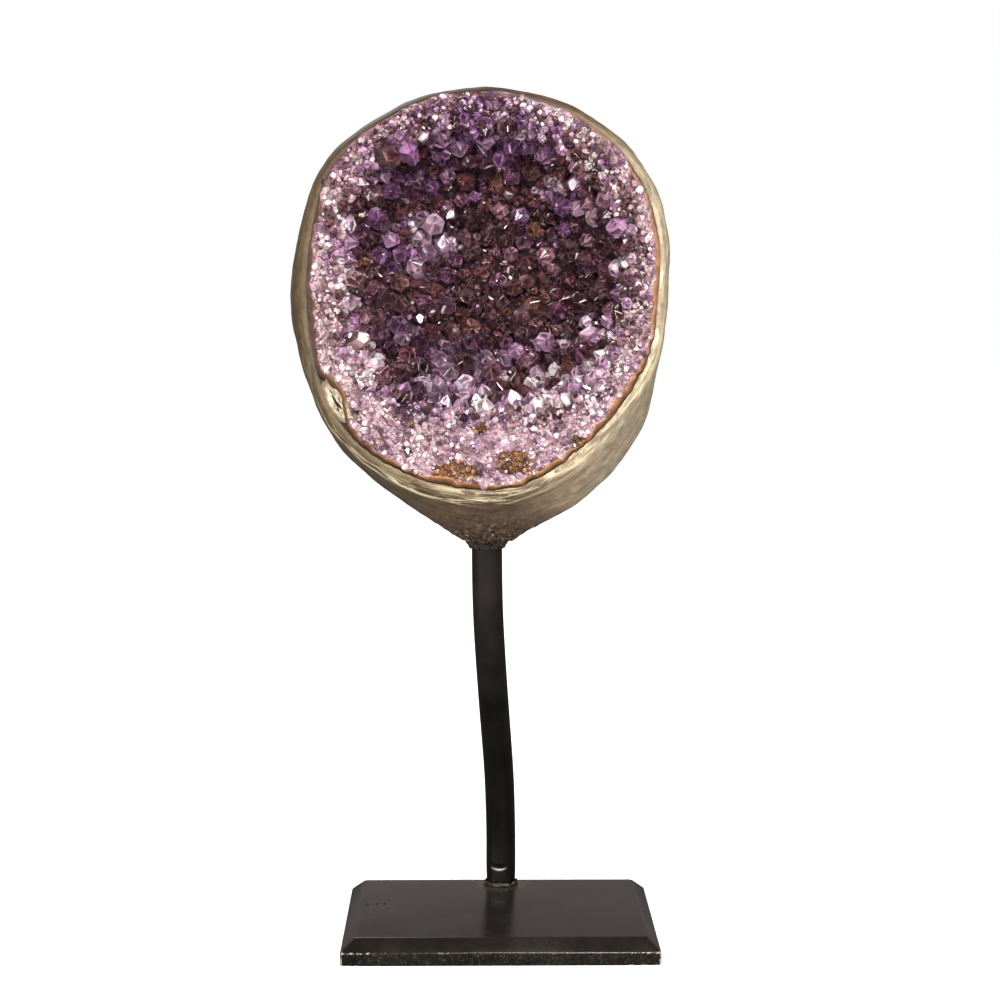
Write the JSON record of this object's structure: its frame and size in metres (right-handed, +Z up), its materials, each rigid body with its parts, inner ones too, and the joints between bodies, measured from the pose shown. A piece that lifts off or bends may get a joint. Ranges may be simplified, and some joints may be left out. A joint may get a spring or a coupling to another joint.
{
  "type": "amethyst cluster on a stand",
  "caption": "Half geode lined with amethyst points, its rock cup held on a bent round bar welded to a chamfered steel base plate.",
  "frame": {"origin": "centre of the base plate's underside", "axes": "+Z up; the open face of the geode looks along -Y; +X is to the viewer's right"},
  "size_m": [0.1202, 0.08, 0.2709],
  "materials": {
    "black_steel": "satin black, worn at the edges",
    "weld": "blackened weld with a trace of brown residue",
    "resin": "dark resin full of rock grit",
    "host_rock": "ground and half polished basalt, mottled beige and grey-green",
    "agate": "cut and polished brown-orange agate",
    "quartz": "glassy pale lilac to violet quartz points",
    "amethyst": "glassy violet quartz crystal"
  },
  "bodies": {
    "root": {"base_plate": "black_steel", "post": "black_steel", "weld_bead": "weld", "socket_glue": "resin", "rind": "host_rock", "agate_band": "agate", "quartz_druse": "quartz", "crystal_01": "amethyst", "crystal_02": "amethyst", "crystal_03": "amethyst", "crystal_04": "amethyst", "crystal_05": "amethyst", "crystal_06": "amethyst", "crystal_07": "amethyst", "crystal_08": "amethyst", "crystal_09": "amethyst", "crystal_10": "amethyst", "crystal_11": "amethyst", "crystal_12": "amethyst", "crystal_13": "amethyst", "crystal_14": "amethyst", "crystal_15": "amethyst", "crystal_16": "amethyst", "crystal_17": "amethyst", "crystal_18": "amethyst", "crystal_19": "amethyst", "crystal_20": "amethyst", "crystal_21": "amethyst", "crystal_22": "amethyst", "crystal_23": "amethyst", "crystal_24": "amethyst"}
  },
  "joints": []
}
